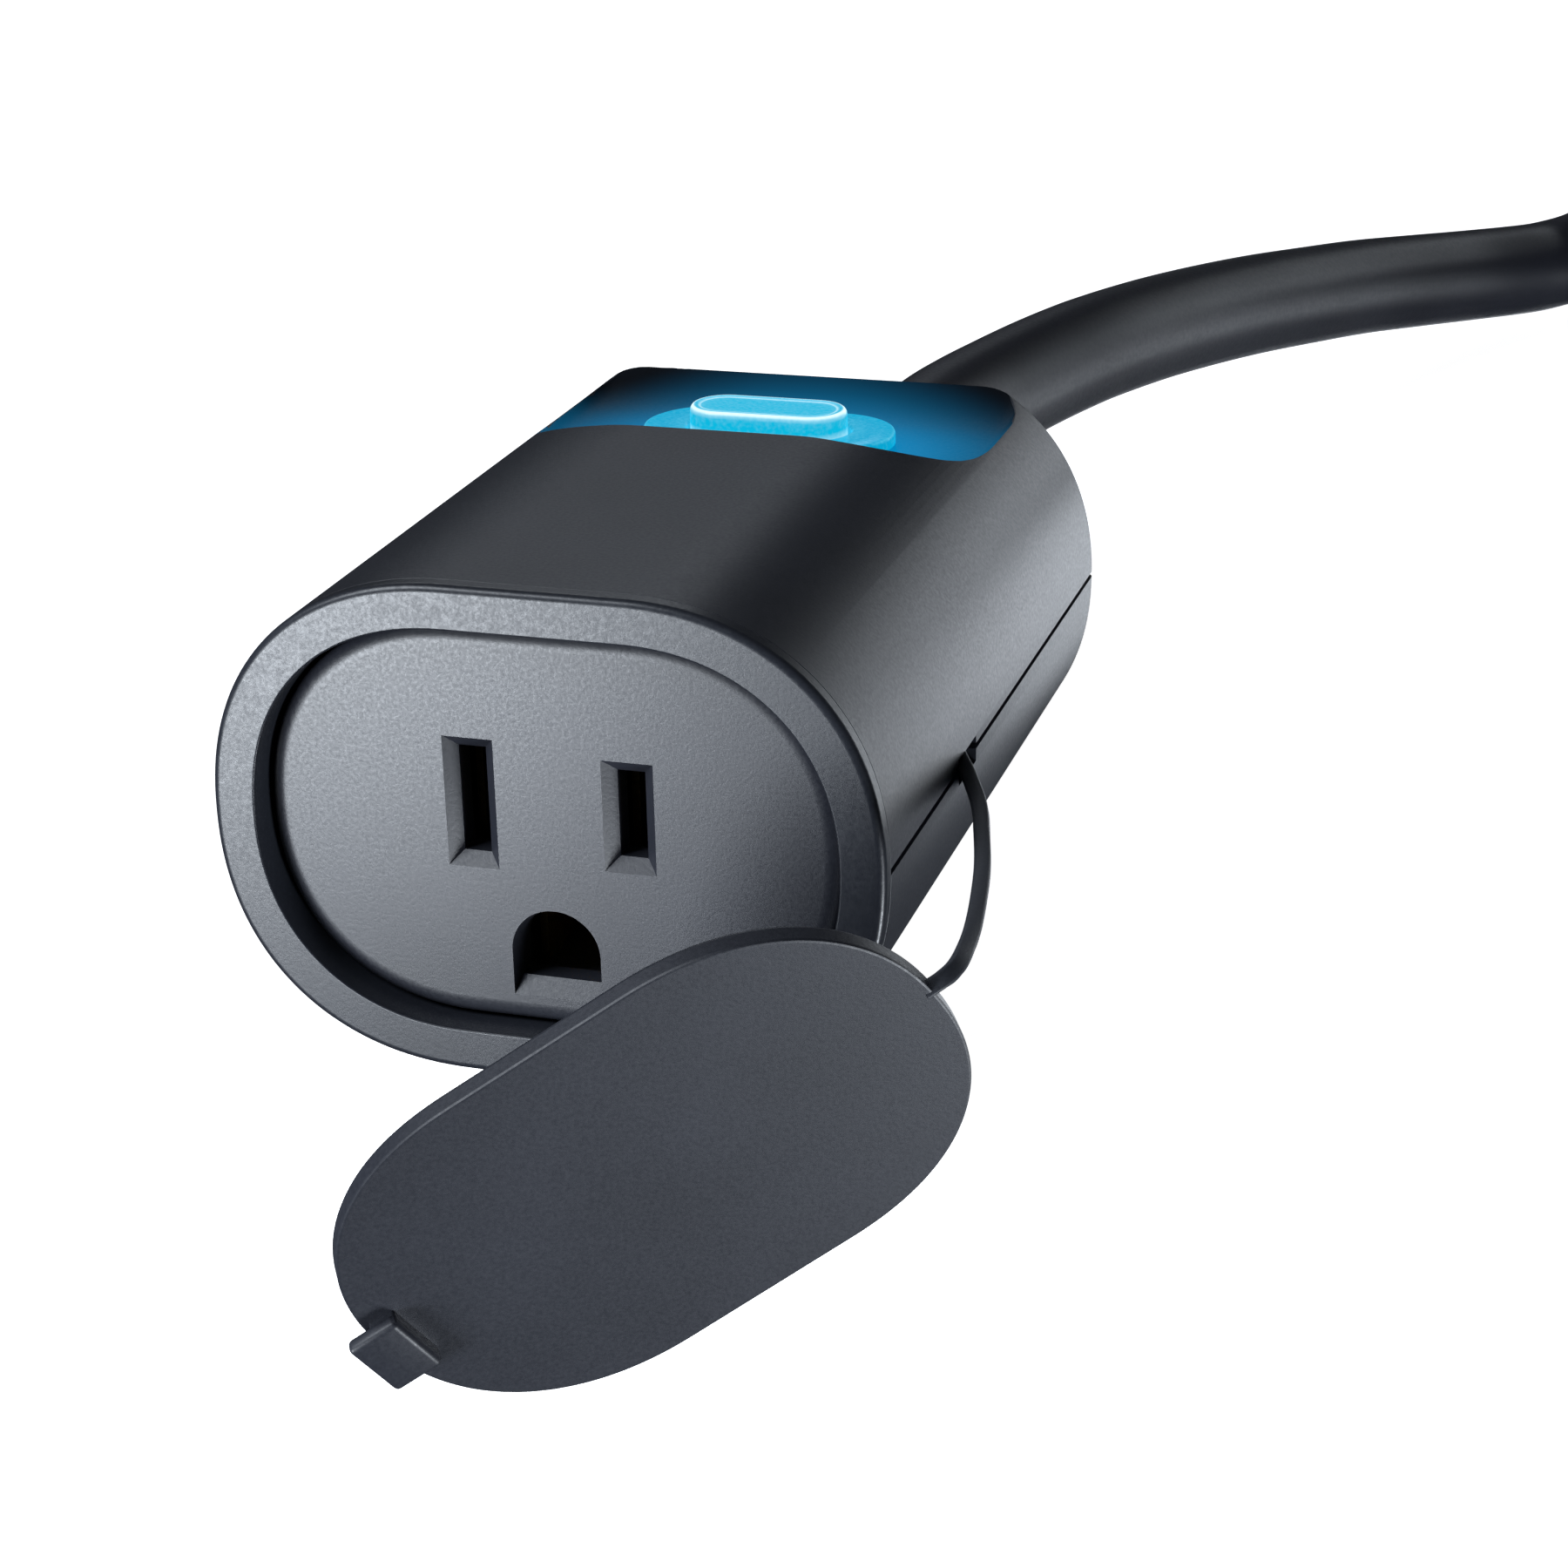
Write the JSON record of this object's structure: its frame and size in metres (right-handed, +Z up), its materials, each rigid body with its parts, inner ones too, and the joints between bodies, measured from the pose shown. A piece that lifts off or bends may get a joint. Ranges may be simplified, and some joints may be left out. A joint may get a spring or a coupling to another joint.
{
  "type": "outdoor smart plug",
  "caption": "Single-socket outdoor smart plug: rounded housing, lit power button in a rear recess, tethered dust cap hanging open and a short cord with a grounded plug.",
  "frame": {"origin": "middle of the flat strip along the underside of the housing, half way along its length", "axes": "+Z up, the socket face looks along -Y, the cord leaves along +Y, +X is to the right seen from the front"},
  "size_m": [0.1545, 0.3595, 0.0527],
  "materials": {
    "shell": "fine-textured satin",
    "bezel": "satin",
    "socket_face": "satin",
    "cap_rubber": "fine grain",
    "tether_rubber": "fine grain",
    "cord_jacket": "smooth satin",
    "light_plastic": "clear blue",
    "seal": "soft",
    "contact_metal": "plain",
    "carrier_plastic": "plain",
    "screw_steel": "plain",
    "board": "solder mask",
    "dark_plastic": "plain",
    "component_blue": "plain",
    "component_yellow": "plain",
    "component_white": "plain",
    "wire_green": "plain"
  },
  "bodies": {
    "housing": {"upper_shell": "shell", "lower_shell": "shell", "front_bezel": "bezel", "socket_face": "socket_face", "face_gasket": "seal", "contact_carrier": "carrier_plastic", "neutral_contact": "contact_metal", "line_contact": "contact_metal", "ground_contact": "contact_metal", "light_ring": "light_plastic", "button_board": "board", "tact_switch_body": "screw_steel", "status_led_left": "component_white", "status_led_right": "component_white", "main_board": "board", "relay": "component_blue", "power_transformer": "component_yellow", "radio_module": "screw_steel", "bulk_capacitor": "dark_plastic", "filter_capacitor": "component_yellow", "varistor": "component_blue", "fuse": "component_white", "line_wire": "dark_plastic", "neutral_wire": "component_white", "ground_wire": "wire_green", "housing_screw_front_left": "screw_steel", "housing_screw_front_right": "screw_steel", "housing_screw_rear_left": "screw_steel", "housing_screw_rear_right": "screw_steel", "board_screw_front": "screw_steel", "board_screw_rear": "screw_steel", "clamp_screw_left": "screw_steel", "clamp_screw_right": "screw_steel", "cord_clamp": "dark_plastic", "cord_jacket_end": "cord_jacket", "strain_relief": "cord_jacket", "power_cord": "cord_jacket", "plug_strain_relief": "cord_jacket", "plug_body": "shell", "plug_line_blade": "contact_metal", "plug_neutral_blade": "contact_metal", "plug_ground_pin": "contact_metal", "tether_strap": "tether_rubber"},
    "button": {"power_button": "light_plastic"},
    "switch_plunger": {"tact_switch_plunger": "dark_plastic"},
    "tether_tip": {"tether_strap_tip": "tether_rubber"},
    "tether_end": {"tether_lug": "tether_rubber"},
    "cap": {"dust_cap": "cap_rubber"}
  },
  "joints": [
    {"name": "button_press", "type": "slide", "parent": "housing", "child": "button", "axis": [0, 0, -1], "range_m": [0, 0.0006], "stiffness_N_per_m": 600},
    {"name": "plunger_press", "type": "slide", "parent": "housing", "child": "switch_plunger", "axis": [0, 0, -1], "range_m": [0, 0.0006]},
    {"name": "tether_fold", "type": "hinge", "parent": "housing", "child": "tether_tip", "pos_m": [0.0353, -0.04048, 0.01991], "axis": [0.0089, -0.0103, -0.9999], "range_deg": [0, 109.2]},
    {"name": "cap_turn", "type": "hinge", "parent": "tether_tip", "child": "tether_end", "pos_m": [0.03626, -0.05079, 0.02003], "axis": [-0.4693, -0.0532, 0.8814], "range_deg": [0, 88.77]},
    {"name": "cap_press", "type": "slide", "parent": "tether_end", "child": "cap", "axis": [-0.5228, 0.7987, 0.2979], "range_m": [0, 0.0026]}
  ],
  "couplings": [
    {"joint": "plunger_press", "follows": "button_press", "ratio": 1},
    {"joint": "tether_fold", "follows": "cap_turn", "ratio": 1.2297}
  ]
}
